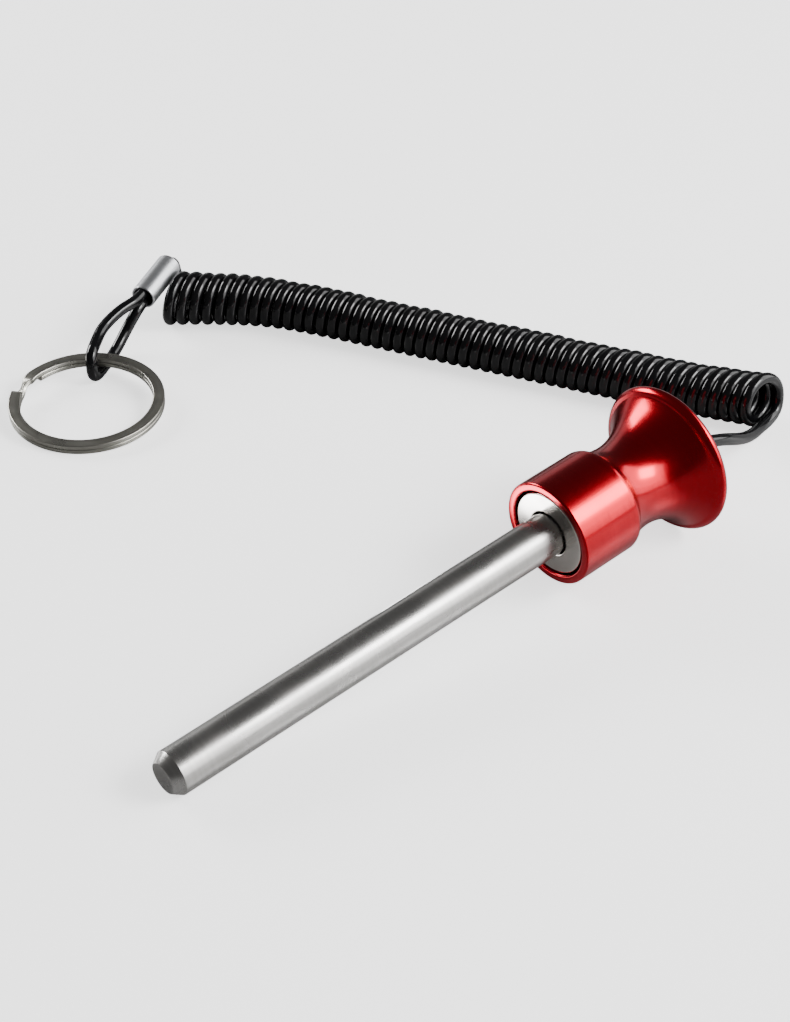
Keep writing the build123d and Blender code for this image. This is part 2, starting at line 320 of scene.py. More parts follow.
@dataclass(frozen=True)
class MetalFinish:
    """A machined or plated metal, with its tool lines, handling marks and scratches.

    Depths are in millimetres, and scales are so many to the metre.
    """

    name: str
    colour: tuple[float, float, float]
    shade: tuple[float, float, float]
    roughness: float
    roughness_spread: float = 0.08
    coat: float = 0.0
    coat_roughness: float = 0.06
    lines: LineDirection = LineDirection.ROUND_THE_AXIS
    lines_per_metre: float = 9000.0
    line_depth: float = 0.004
    smudge_scale: float = 60.0
    scratch_depth: float = 0.0
    scratch_scale: float = 900.0
    scratch_stretch: float = 0.03

    def material(self, effects: Effects, placing: Placing) -> bpy.types.Material:
        """Build the material for a piece.

        Args:
            effects: The shared node groups.
            placing: The piece's own axis, which its lines follow.

        Returns:
            The new material.
        """
        made = bpy.data.materials.new(self.name)
        made.use_nodes = True
        wiring = Wiring(made.node_tree)
        own = wiring.node(
            "ShaderNodeMapping",
            {
                "Vector": wiring.node("ShaderNodeTexCoord").outputs["Object"],
                "Location": placing.origin,
                "Rotation": placing.matrix().to_euler(),
            },
            vector_type="TEXTURE",
        ).outputs[0]
        apart = wiring.node("ShaderNodeSeparateXYZ", {"Vector": own})
        if self.lines is LineDirection.CONCENTRIC:
            across = [wiring.math("POWER", apart.outputs[axis], 2.0) for axis in "XY"]
            along = wiring.math("SQRT", wiring.math("ADD", *across))
        else:
            along = apart.outputs["Z"]
        lines = wiring.node(
            "ShaderNodeGroup",
            {"Along": along, "Lines Per Metre": self.lines_per_metre},
            node_tree=effects.tool_lines,
        ).outputs
        smudges = wiring.node(
            "ShaderNodeGroup",
            {"Vector": own, "Scale": self.smudge_scale},
            node_tree=effects.smudges,
        ).outputs["Mask"]
        scratches = wiring.node(
            "ShaderNodeGroup",
            {"Vector": own, "Scale": self.scratch_scale, "Stretch": self.scratch_stretch},
            node_tree=effects.scratches,
        ).outputs["Mask"]
        half_tone = wiring.math("MULTIPLY", lines["Tone"], 0.5)
        tone = wiring.math("MULTIPLY_ADD", smudges, 0.5, half_tone)
        ridges = wiring.math("MULTIPLY", lines["Height"], self.line_depth)
        height = wiring.math("MULTIPLY_ADD", scratches, -self.scratch_depth, ridges)
        bump = wiring.node("ShaderNodeBump", {"Height": height, "Distance": MM, "Strength": 1.0})
        dullest = self.roughness + self.roughness_spread
        wiring.feed(
            made.node_tree.nodes["Principled BSDF"],
            {
                "Base Color": wiring.mix(tone, (*self.colour, 1.0), (*self.shade, 1.0)),
                "Roughness": wiring.ramp(smudges, 0.0, 1.0, self.roughness, dullest),
                "Normal": bump.outputs[0],
                "Metallic": 1.0,
                "Coat Weight": self.coat,
                "Coat Roughness": self.coat_roughness,
            },
        )
        return made


@dataclass(frozen=True)
class CordFinish:
    """A glossy extruded skin, with faint ripples round it and dust in its dull patches.

    Depths are in millimetres, and scales are so many to the metre.
    """

    name: str = "cord_black"
    colour: tuple[float, float, float] = (0.0025, 0.0025, 0.003)
    dust: tuple[float, float, float] = (0.005, 0.005, 0.0055)
    roughness: float = 0.11
    roughness_spread: float = 0.05
    smudge_scale: float = 180.0
    gloss: float = 0.42
    ripple_depth: float = 0.004
    ripples_per_metre: float = 700.0

    def material(self, effects: Effects, length: float) -> bpy.types.Material:
        """Build the material for a cord.

        Args:
            effects: The shared node groups.
            length: The cord's length in metres, which its UV map spans.

        Returns:
            The new material.
        """
        made = bpy.data.materials.new(self.name)
        made.use_nodes = True
        wiring = Wiring(made.node_tree)
        unrolled = wiring.node("ShaderNodeUVMap", uv_map="UVMap").outputs[0]
        apart = wiring.node("ShaderNodeSeparateXYZ", {"Vector": unrolled})
        ripples = wiring.node(
            "ShaderNodeGroup",
            {
                "Along": wiring.math("MULTIPLY", apart.outputs["X"], length),
                "Lines Per Metre": self.ripples_per_metre,
            },
            node_tree=effects.tool_lines,
        ).outputs["Height"]
        smudges = wiring.node(
            "ShaderNodeGroup",
            {
                "Vector": wiring.node("ShaderNodeTexCoord").outputs["Object"],
                "Scale": self.smudge_scale,
            },
            node_tree=effects.smudges,
        ).outputs["Mask"]
        height = wiring.math("MULTIPLY", ripples, self.ripple_depth)
        bump = wiring.node("ShaderNodeBump", {"Height": height, "Distance": MM, "Strength": 1.0})
        dullest = self.roughness + self.roughness_spread
        wiring.feed(
            made.node_tree.nodes["Principled BSDF"],
            {
                "Base Color": wiring.mix(smudges, (*self.colour, 1.0), (*self.dust, 1.0)),
                "Roughness": wiring.ramp(smudges, 0.0, 1.0, self.roughness, dullest),
                "Normal": bump.outputs[0],
                "Specular IOR Level": self.gloss,
            },
        )
        return made


SHANK_STEEL = MetalFinish(
    "shank_steel",
    (0.54, 0.53, 0.515),
    (0.40, 0.39, 0.375),
    0.24,
    0.10,
    line_depth=0.003,
    scratch_depth=0.004,
)
KNOB_RED = MetalFinish(
    "knob_anodised",
    (0.58, 0.008, 0.022),
    (0.42, 0.004, 0.012),
    0.21,
    0.06,
    coat=0.22,
    line_depth=0.0035,
    lines_per_metre=7000.0,
)
MAGNET_NICKEL = MetalFinish(
    "magnet_nickel", (0.80, 0.77, 0.73), (0.56, 0.52, 0.48), 0.16, 0.12, line_depth=0.001
)
SCREW_ZINC = MetalFinish(
    "screw_steel", (0.52, 0.52, 0.54), (0.38, 0.38, 0.40), 0.34, 0.12, line_depth=0.002
)
FERRULE_SATIN = MetalFinish(
    "ferrule_aluminium", (0.78, 0.79, 0.81), (0.62, 0.63, 0.65), 0.33, 0.10, line_depth=0.003
)
RING_NICKEL = MetalFinish(
    "ring_nickel",
    (0.54, 0.53, 0.48),
    (0.34, 0.33, 0.29),
    0.26,
    0.14,
    lines=LineDirection.CONCENTRIC,
    lines_per_metre=6000.0,
    line_depth=0.006,
    smudge_scale=120.0,
)


# ---------------------------------------------------------------------- making meshes


def arc(start: Point, middle: Point, end: Point, steps: int) -> Outline:
    """Points on the circle through three points, from the first to the last.

    Args:
        start: The first point.
        middle: A point that the arc passes.
        end: The last point.
        steps: How many stretches the arc is divided into.

    Returns:
        The points, both ends among them.
    """
    (ax, ay), (bx, by), (cx, cy) = start, middle, end
    twice = 2 * (ax * (by - cy) + bx * (cy - ay) + cx * (ay - by))
    squares = [x * x + y * y for x, y in (start, middle, end)]
    ux = (squares[0] * (by - cy) + squares[1] * (cy - ay) + squares[2] * (ay - by)) / twice
    uy = (squares[0] * (cx - bx) + squares[1] * (ax - cx) + squares[2] * (bx - ax)) / twice
    radius = math.hypot(ax - ux, ay - uy)
    first, halfway, last = (math.atan2(y - uy, x - ux) for x, y in (start, middle, end))
    sweep = (last - first) % FULL_TURN
    if (halfway - first) % FULL_TURN > sweep:
        sweep -= FULL_TURN
    angles = [first + sweep * step / steps for step in range(steps + 1)]
    return [(ux + radius * math.cos(angle), uy + radius * math.sin(angle)) for angle in angles]


def object_from(name: str, bm: bmesh.types.BMesh) -> bpy.types.Object:
    """Make a smooth-shaded object at the origin.

    Args:
        name: The object's name.
        bm: Its mesh, which is freed.

    Returns:
        The new object.
    """
    mesh = bpy.data.meshes.new(name)
    bm.to_mesh(mesh)
    bm.free()
    mesh.polygons.foreach_set("use_smooth", [True] * len(mesh.polygons))
    made = bpy.data.objects.new(name, mesh)
    bpy.context.scene.collection.objects.link(made)
    return made


def soften(
    bm: bmesh.types.BMesh, width: float, least_angle: float = 24.0, segments: int = 3
) -> None:
    """Round every edge of a mesh that is sharper than an angle.

    Args:
        bm: The mesh, in metres.
        width: How wide the rounding is, in millimetres.
        least_angle: The angle between two faces, in degrees, above which their edge is rounded.
        segments: How many faces the rounding has.
    """
    least = math.radians(least_angle)
    sharp = [edge for edge in bm.edges if edge.is_manifold and edge.calc_face_angle() > least]
    bmesh.ops.bevel(
        bm,
        geom=sharp,
        offset=width * MM,
        offset_type="OFFSET",
        segments=segments,
        profile=0.5,
        affect="EDGES",
        clamp_overlap=True,
        material=-1,
    )


def turned(
    name: str, outline: Outline, placing: Placing, closed: bool, edge: float, steps: int = 144
) -> bpy.types.Object:
    """A piece turned about its axis.

    Args:
        name: The piece's name.
        outline: Stations and radii in millimetres, in order.
        placing: The axis that the outline is turned about.
        closed: Whether the outline runs back to its first point, as a ring's does.
        edge: How far sharp edges are rounded, in millimetres.
        steps: How many faces there are round the axis.

    Returns:
        The new object.
    """
    bm = bmesh.new()
    points = [bm.verts.new((radius * MM, 0, station * MM)) for station, radius in outline]
    chain = [bm.edges.new(pair) for pair in zip(points, points[1:])]
    if closed:
        chain.append(bm.edges.new((points[-1], points[0])))
    bmesh.ops.spin(
        bm,
        geom=points + chain,
        cent=(0, 0, 0),
        axis=(0, 0, 1),
        angle=FULL_TURN,
        steps=steps,
        use_merge=True,
    )
    bmesh.ops.remove_doubles(bm, verts=bm.verts, dist=1e-6)
    bmesh.ops.dissolve_degenerate(bm, edges=bm.edges, dist=1e-7)
    soften(bm, edge)
    bmesh.ops.recalc_face_normals(bm, faces=bm.faces)
    bmesh.ops.transform(bm, matrix=placing.matrix(), verts=bm.verts)
    made = object_from(name, bm)
    made.modifiers.new("even_shading", "WEIGHTED_NORMAL")
    return made


def spline_of(name: str, points: Iterable[Vector], resolution: int) -> bpy.types.Object:
    """A curve object of one open smooth spline, which isn't linked to the scene.

    Args:
        name: The curve's name.
        points: Its control points, in metres.
        resolution: How many points each stretch between two of them gets.

    Returns:
        The curve object.
    """
    line = bpy.data.curves.new(name, "CURVE")
    line.dimensions = "3D"
    controls = list(points)
    spline = line.splines.new("NURBS")
    spline.points.add(len(controls) - 1)
    for control, place in zip(spline.points, controls):
        control.co = (*place, 1.0)
    spline.order_u = 3
    spline.use_endpoint_u = True
    spline.resolution_u = resolution
    line.resolution_u = resolution
    return bpy.data.objects.new(name, line)


def points_along(curve: bpy.types.Object) -> list[Vector]:
    """Read the line that a curve without a bevel makes.

    Args:
        curve: The curve object.

    Returns:
        The line's points, in order.
    """
    mesh = bpy.data.meshes.new_from_object(curve)
    found = [vertex.co.copy() for vertex in mesh.vertices]
    bpy.data.meshes.remove(mesh)
    return found


@dataclass
class CordTube:
    """A round cord along a smooth route: its line, and the mesh round it.

    The diameter is in millimetres, the route in metres.
    """

    name: str
    controls: list[Vector]
    diameter: float
    resolution: int = 3
    roundness: int = 6
    path: list[Vector] = field(default_factory=list)

    def build(self) -> bpy.types.Object:
        """Make the tube and keep the line that its rings stand on.

        Returns:
            The tube, closed at both ends.
        """
        route = spline_of(self.name + "_route", self.controls, self.resolution)
        self.path = points_along(route)
        route.data.bevel_depth = self.diameter / 2 * MM
        route.data.bevel_resolution = self.roundness
        mesh = bpy.data.meshes.new_from_object(route)
        bpy.data.objects.remove(route)
        bm = bmesh.new()
        bm.from_mesh(mesh)
        bpy.data.meshes.remove(mesh)
        bmesh.ops.holes_fill(bm, edges=bm.edges, sides=0)
        return object_from(self.name, bm)

    def length(self) -> float:
        """The length of the cord's line, in metres."""
        return sum((b - a).length for a, b in zip(self.path, self.path[1:]))

    def ring_size(self, tube: bpy.types.Object) -> int:
        """How many of the tube's points stand round each point of its line."""
        return len(tube.data.vertices) // len(self.path)


# --------------------------------------------------------------------- the sub-assemblies


@dataclass
class LockingPin:
    """The shank, knob and magnet, all turned about one axis, and what holds them together.

    Stations are in millimetres from the collar's front face, towards the knob's back.
    """

    shank_radius: float = 5.0
    tip_radius: float = 3.5
    tip_chamfer: float = 2.2
    shank_seat: float = 18.1
    seat_radius: float = 4.8
    collar_radius: float = 12.5
    collar_length: float = 15.6
    pocket_radius: float = 10.45
    pocket_depth: float = 8.4
    shoulder_bend: tuple[float, float] = (1.2, 0.3)
    shoulder: tuple[float, float] = (17.6, 11.3)
    waist: tuple[float, float] = (23.7, 10.25)
    flare_end: tuple[float, float] = (36.3, 16.4)
    rim: tuple[float, float] = (38.0, 18.0)
    rim_front: tuple[float, float] = (36.85, 17.45)
    rim_back: tuple[float, float] = (38.8, 17.6)
    back_edge: tuple[float, float] = (39.3, 16.9)
    back_land: float = 0.8
    dish_middle: tuple[float, float] = (38.45, 13.0)
    dish_depth: float = 1.2
    cap_radius: float = 9.0
    cap_thickness: float = 3.0
    cap_bevel: float = 0.3
    hollow_radius: float = 7.0
    seat_web: float = 4.0
    screw_hole_radius: float = 2.75
    seat_gap: float = 0.02
    pocket_bevel: float = 0.3
    collar_round: float = 0.5
    collar_round_middle: float = 0.146
    magnet_radii: tuple[float, float] = (5.3, 9.9)
    magnet_recess: float = 0.4
    shank_edge: float = 0.12
    knob_edge: float = 0.22
    magnet_edge: float = 0.35

    def placing(self) -> Placing:
        """Find the pin's axis from the record's mounts.

        Returns:
            The axis, from the collar's front face towards the knob's back.
        """
        mounts = {mount["name"]: mount for mount in frame["record"]["mounts"]}
        direction = -Vector(mounts["shank"]["axis"]).normalized()
        on_axis = Vector(mounts["shank"]["pos_m"])
        reach = (Vector(mounts["collar_face"]["pos_m"]) - on_axis).dot(direction)
        return Placing(on_axis + direction * reach, direction)

    def tip_station(self, placing: Placing) -> float:
        """Find the shank's tip from the length of its mount.

        Args:
            placing: The pin's axis.

        Returns:
            The tip's station.
        """
        mount = next(m for m in frame["record"]["mounts"] if m["name"] == "shank")
        middle = (Vector(mount["pos_m"]) - placing.origin).dot(placing.direction) / MM
        return middle - mount["dims"]["length_mm"] / 2 - self.tip_chamfer

    def shank_outline(self, tip: float) -> Outline:
        """The rod's outline, from the centre of its tip to the centre of its seated end.

        Args:
            tip: The tip's station.

        Returns:
            Stations and radii.
        """
        return [
            (tip, 0.0),
            (tip, self.tip_radius),
            (tip + self.tip_chamfer, self.shank_radius),
            (0.0, self.shank_radius),
            (0.0, self.seat_radius),
            (self.shank_seat, self.seat_radius),
            (self.shank_seat, 0.0),
        ]

    def knob_outline(self) -> Outline:
        """The knob's section, round its outside and back through its bores.

        Returns:
            Stations and radii.
        """
        collar_end = (self.collar_length, self.collar_radius)
        on, inward = self.shoulder_bend
        shoulder_middle = (self.collar_length + on, self.collar_radius - inward)
        round_start = (0.0, self.collar_radius - self.collar_round)
        round_middle = (self.collar_round_middle, self.collar_radius - self.collar_round_middle)
        round_end = (self.collar_round, self.collar_radius)
        dish_start = (self.back_edge[0], self.back_edge[1] - self.back_land)
        cap_face = self.back_edge[0] - self.dish_depth
        dish_end = (cap_face, self.cap_radius + self.cap_bevel)
        cap_seat = cap_face - self.cap_thickness
        web_back = self.shank_seat + self.seat_web
        bore = self.seat_radius + self.seat_gap
        outline: Outline = [(0.0, self.pocket_radius + self.pocket_bevel), round_start]
        outline += arc(round_start, round_middle, round_end, 5)[1:]
        outline += arc(collar_end, shoulder_middle, self.shoulder, 8)
        outline += arc(self.shoulder, self.waist, self.flare_end, 28)[1:]
        outline += arc(self.flare_end, self.rim_front, self.rim, 8)[1:]
        outline += arc(self.rim, self.rim_back, self.back_edge, 8)[1:]
        outline += arc(dish_start, self.dish_middle, dish_end, 10)
        outline += [
            (cap_face, self.cap_radius),
            (cap_seat, self.cap_radius),
            (cap_seat, self.hollow_radius),
            (web_back, self.hollow_radius),
            (web_back, self.screw_hole_radius),
            (self.shank_seat, self.screw_hole_radius),
            (self.shank_seat, bore),
            (self.pocket_depth, bore),
            (self.pocket_depth, self.pocket_radius),
            (self.pocket_bevel, self.pocket_radius),
        ]
        return outline

    def magnet_outline(self) -> Outline:
        """The ring magnet's section.

        Returns:
            Stations and radii.
        """
        inner, outer = self.magnet_radii
        front, back = self.magnet_recess, self.pocket_depth
        return [(front, inner), (front, outer), (back, outer), (back, inner)]

    def build(self, effects: Effects) -> list[bpy.types.Object]:
        """Make and dress the pin's pieces, and dress the nodes that hold them together.

        Args:
            effects: The shared node groups.

        Returns:
            The shank, the knob and the magnet.
        """
        placing = self.placing()
        tip = self.tip_station(placing)
        shank = turned(
            "shank_rod", self.shank_outline(tip), placing, closed=False, edge=self.shank_edge
        )
        knob = turned(
            "knob_body", self.knob_outline(), placing, closed=True, edge=self.knob_edge, steps=192
        )
        magnet = turned(
            "ring_magnet_plated",
            self.magnet_outline(),
            placing,
            closed=True,
            edge=self.magnet_edge,
        )
        dressed = (
            (shank, "shank", "shank_steel", SHANK_STEEL),
            (knob, "knob", "knob_anodised", KNOB_RED),
            (magnet, "ring_magnet", "magnet_nickel", MAGNET_NICKEL),
        )
        for piece, node, slot, finish in dressed:
            piece.data.materials.append(finish.material(effects, placing))
            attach(piece, "pin")
            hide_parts(node)
        for node, finish in (
            ("back_cap", KNOB_RED),
            ("shank_screw", SCREW_ZINC),
            ("lock_washer", SCREW_ZINC),
            ("stop_washer", SCREW_ZINC),
            ("stop_sleeve", FERRULE_SATIN),
        ):
            dress_node(node, finish.material(effects, placing))
        return [shank, knob, magnet]


def dress_node(node: str, material: bpy.types.Material) -> None:
    """Give a carried-over node a new material.

    Args:
        node: The node's name.
        material: What all its slots get.
    """
    slots = frame["nodes"][node].material_slots
    if not slots:
        frame["nodes"][node].data.materials.append(material)
    for slot in slots:
        slot.material = material


@dataclass
class Ferrule:
    """The aluminium sleeve crimped over the cord's two strands.

    Its ends are in metres in the frame, its other sizes in millimetres.
    """

    mouth: Vector = field(default_factory=lambda: Vector((27.2, 148.6, 11.9)) * MM)
    back: Vector = field(default_factory=lambda: Vector((40.9, 155.8, 13.8)) * MM)
    radius: float = 3.35
    bore: float = 2.6
    bell: float = 0.12
    bell_depth: float = 0.5
    taper: float = 0.05
    back_bevel: tuple[float, float] = (0.1, 0.3)
    edge: float = 0.25

    def placing(self) -> Placing:
        """The ferrule's axis, from its mouth to its back."""
        return Placing(self.mouth, (self.back - self.mouth).normalized())

    def length(self) -> float:
        """The ferrule's length in millimetres."""
        return (self.back - self.mouth).length / MM

    def rise(self) -> Vector:
        """The direction across the ferrule that points most nearly up."""
        line = self.placing().direction
        return line.cross(Vector((0, 0, 1)).cross(line)).normalized()

    def build(self, effects: Effects) -> bpy.types.Object:
        """Make and dress the ferrule.

        Args:
            effects: The shared node groups.

        Returns:
            The ferrule.
        """
        length = self.length()
        outline = [
            (0.0, self.bore + self.bell),
            (0.0, self.radius - self.taper),
            (length - self.back_bevel[0], self.radius),
            (length, self.radius - self.back_bevel[1]),
            (length, self.bore),
            (self.bell_depth, self.bore),
        ]
        made = turned(
            "ferrule_sleeve", outline, self.placing(), closed=True, edge=self.edge, steps=96
        )
        made.data.materials.append(FERRULE_SATIN.material(effects, self.placing()))
        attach(made, "tether_end")
        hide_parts("ferrule")
        return made


@dataclass(frozen=True)
class TurnLean:
    """How the coil's turns lean: their near side lags behind, and their top leads.

    Lengths are in millimetres along the coil, and places are shares of its length.
    """

    lag_at_knob: float = 1.5
    lag_until: float = 0.6
    lag_at_mouth: float = 1.1
    lag_fades_over: float = 25.0
    lag_at_ferrule: float = 1.75
    closing_from: float = 0.7
    lead: float = 0.3
    lead_at_ferrule: float = 0.1
    lead_lost_at_mouth: float = 1.3
    lead_returns_over: float = 12.0
    uneven: float = 0.10
    uneven_rate: float = 53.0

    def move(self, share: float, station: float, angle: float) -> float:
        """How far a point of a turn is moved along the coil, towards the ferrule.

        Args:
            share: The share of the coil that is passed, from 0 to 1.
            station: The same place, in millimetres from the coil's start.
            angle: The point's angle round the coil, from its top, in radians.

        Returns:
            The move, in millimetres.
        """
        closing = max(0.0, (share - self.closing_from) / (1 - self.closing_from))
        lag = self.lag_at_knob * max(0.0, 1 - share / self.lag_until)
        lag += self.lag_at_mouth * math.exp(-station / self.lag_fades_over)
        lag += self.lag_at_ferrule * closing
        lead = self.lead + self.lead_at_ferrule * closing
        lead -= self.lead_lost_at_mouth * math.exp(-station / self.lead_returns_over)
        uneven = self.uneven * math.sin(self.uneven_rate * share) * math.sin(angle)
        return lag * math.sin(angle) - lead * math.cos(angle) + uneven


@dataclass
class Tether:
    """The cord out of the knob, its close coil, and the loop that holds the key ring.

    Sizes and points are in millimetres, in the frame.
    """

    ferrule: Ferrule
    diameter: float = 3.0
    coil_radius: float = 5.2
    end_radius: float = 5.9
    pitches: tuple[float, float] = (2.82, 3.40)
    points_per_turn: int = 12
    rising_points: int = 3
    axis_steps: int = 24
    hand: Hand = Hand.LEFT
    lean: TurnLean = TurnLean()
    mouth_swell: float = 0.3
    mouth_length: float = 8.0
    widening_from: float = 0.72
    waver: tuple[tuple[float, float, float], ...] = ((0.05, 37.0, 0.0), (0.04, 91.0, 1.3))
    strand_rise: float = 1.12
    strand_depth: float = 1.0
    strand_reach: float = 4.0
    spread_at_mouth: float = 1.1
    spread_above: float = 1.3
    spread_below: float = 1.4
    tail: tuple[tuple[float, float, float], ...] = (
        (60.9, 0.0, 17.1),
        (75.4, 0.0, 18.5),
        (88.0, -0.3, 15.3),
        (98.0, 2.0, 9.7),
        (106.6, 5.3, 5.5),
        (113.2, 8.4, 3.1),
        (119.9, 10.6, 1.7),
        (124.5, 12.0, 2.5),
    )
    coil_axis: tuple[tuple[float, float], ...] = (
        (119.35, 12.3),
        (110.0, 27.6),
        (93.0, 61.5),
        (75.4, 96.0),
        (61.2, 125.2),
        (51.6, 138.3),
        (37.6, 149.9),
    )
    last_turn: tuple[tuple[float, float, float], ...] = (
        (42.4, 153.6, 1.8),
        (44.2, 155.8, 4.8),
        (44.0, 157.0, 9.8),
        (43.3, 157.1, 13.6),
    )
    loop: tuple[tuple[float, float, float], ...] = (
        (18.4, 146.3, 12.3),
        (11.8, 145.0, 10.2),
        (7.2, 141.5, 9.0),
        (3.0, 137.6, 8.4),
        (2.6, 136.9, 1.55),
        (8.9, 140.8, 1.5),
        (15.1, 145.1, 1.6),
        (20.4, 147.4, 5.0),
    )

    def coil_controls(self) -> list[Vector]:
        """Wind the coil's turns round its axis, each resting on the floor.

        Returns:
            The control points, from the knob's end to the ferrule's.
        """
        middles = [Vector((x, y, 0)) * MM for x, y in self.coil_axis]
        axis = points_along(spline_of("coil_axis", middles, self.axis_steps))
        stations = [0.0]
        for before, after in zip(axis, axis[1:]):
            stations.append(stations[-1] + (after - before).length)
        # The spline cuts inside its control points, so they stand out by this much
        bulge = 1 / (0.75 + 0.25 * math.cos(FULL_TURN / self.points_per_turn))
        # The last half turn brings the cord down to the floor
        turns = round(2 * stations[-1] / MM / sum(self.pitches)) + 0.5
        count = round(turns * self.points_per_turn) + self.rising_points
        loosening = (self.pitches[1] - self.pitches[0]) / sum(self.pitches)
        up = Vector((0, 0, 1))
        found = []
        nearest = 0
        for step in range(count + 1):
            share = (1 - loosening) * step / count + loosening * (step / count) ** 2
            station = share * stations[-1]
            while nearest < len(axis) - 2 and stations[nearest + 1] < station:
                nearest += 1
            span = stations[nearest + 1] - stations[nearest]
            centre = axis[nearest].lerp(axis[nearest + 1], (station - stations[nearest]) / span)
            ahead = (axis[min(nearest + 2, len(axis) - 1)] - axis[max(nearest - 1, 0)]).normalized()
            far_side = ahead.cross(up) * self.hand.value
            angle = FULL_TURN * (step - self.rising_points) / self.points_per_turn
            radius = self.turn_radius(share, station / MM) * MM
            height = radius + self.diameter / 2 * MM
            around = up * math.cos(angle) + far_side * math.sin(angle)
            lean = self.lean.move(share, station / MM, angle) * MM
            found.append(centre + up * height + around * (radius * bulge) + ahead * lean)
        return found

    def turn_radius(self, share: float, station: float) -> float:
        """How far the cord's line is from the coil's axis, in millimetres.

        Args:
            share: The share of the coil that is passed, from 0 to 1.
            station: The same place, in millimetres from the coil's start.

        Returns:
            The radius.
        """
        mouth = self.mouth_swell * math.exp(-station / self.mouth_length)
        passed = max(0.0, (share - self.widening_from) / (1 - self.widening_from))
        widening = (self.end_radius - self.coil_radius) * passed**2
        uneven = sum(size * math.sin(rate * share + phase) for size, rate, phase in self.waver)
        return self.coil_radius + mouth + widening + uneven

    def build_coil(self, effects: Effects) -> bpy.types.Object:
        """Make the cord from the knob to the ferrule.

        Args:
            effects: The shared node groups.

        Returns:
            The cord.
        """
        line = self.ferrule.placing().direction
        tail = [Vector(point) * MM for point in self.tail]
        coil = self.coil_controls()
        closing = [Vector(point) * MM for point in self.last_turn]
        closing += [self.ferrule.back, self.ferrule.back - line * 2 * MM]
        cord = CordTube("tether_cord", tail + coil + closing, self.diameter)
        tube = cord.build()
        self.stretch(cord, tube, len(tail), len(closing))
        tube.data.materials.append(CordFinish().material(effects, cord.length()))
        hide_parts("tether_tail", "tether_coil")
        return tube

    def stretch(self, cord: CordTube, tube: bpy.types.Object, before: int, after: int) -> None:
        """Move each section of cord, as one, onto the line between the coil's ends, bake the
        tube's transform, and put every point back where it was.

        Args:
            cord: The cord, with its line.
            tube: The mesh round it.
            before: How many control points stand before the coil.
            after: How many stand behind it.
        """
        per_control = len(cord.path) / len(cord.controls)
        first, last = before * per_control, len(cord.path) - after * per_control
        start, end = cord.path[int(first)], cord.path[int(last)]
        size = cord.ring_size(tube)
        places = [vertex.co.copy() for vertex in tube.data.vertices]
        # Each section is first put on the line from start to end
        for number, vertex in enumerate(tube.data.vertices):
            share = (number // size - first) / (last - first)
            vertex.co = start.lerp(end, min(1.0, max(0.0, share)))
        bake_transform(tube)
        for vertex, place in zip(tube.data.vertices, places):
            vertex.co = place

    def build_loop(self, effects: Effects) -> bpy.types.Object:
        """Make the loop of cord out of the ferrule and round the key ring's wire.

        Args:
            effects: The shared node groups.

        Returns:
            The loop.
        """
        placing = self.ferrule.placing()
        rise = self.ferrule.rise() * self.strand_rise * MM
        deep = self.ferrule.length() - self.strand_depth
        mouth, out = placing.at(0.0), placing.at(-self.strand_reach)
        upper = [placing.at(deep) + rise, placing.at(deep / 2) + rise]
        upper += [mouth + rise * self.spread_at_mouth, out + rise * self.spread_above]
        lower = [out - rise * self.spread_below, mouth - rise * self.spread_at_mouth]
        lower += [placing.at(deep / 2) - rise, placing.at(deep) - rise]
        middle = [Vector(point) * MM for point in self.loop]
        route = upper + middle + lower
        cord = CordTube("tether_loop_cord", route, self.diameter, resolution=8, roundness=8)
        tube = cord.build()
        tube.data.materials.append(CordFinish().material(effects, cord.length()))
        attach(tube, "tether_end")
        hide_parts("tether_loop", "crimped_strands")
        placing.at(0.0) + rise
        return tube


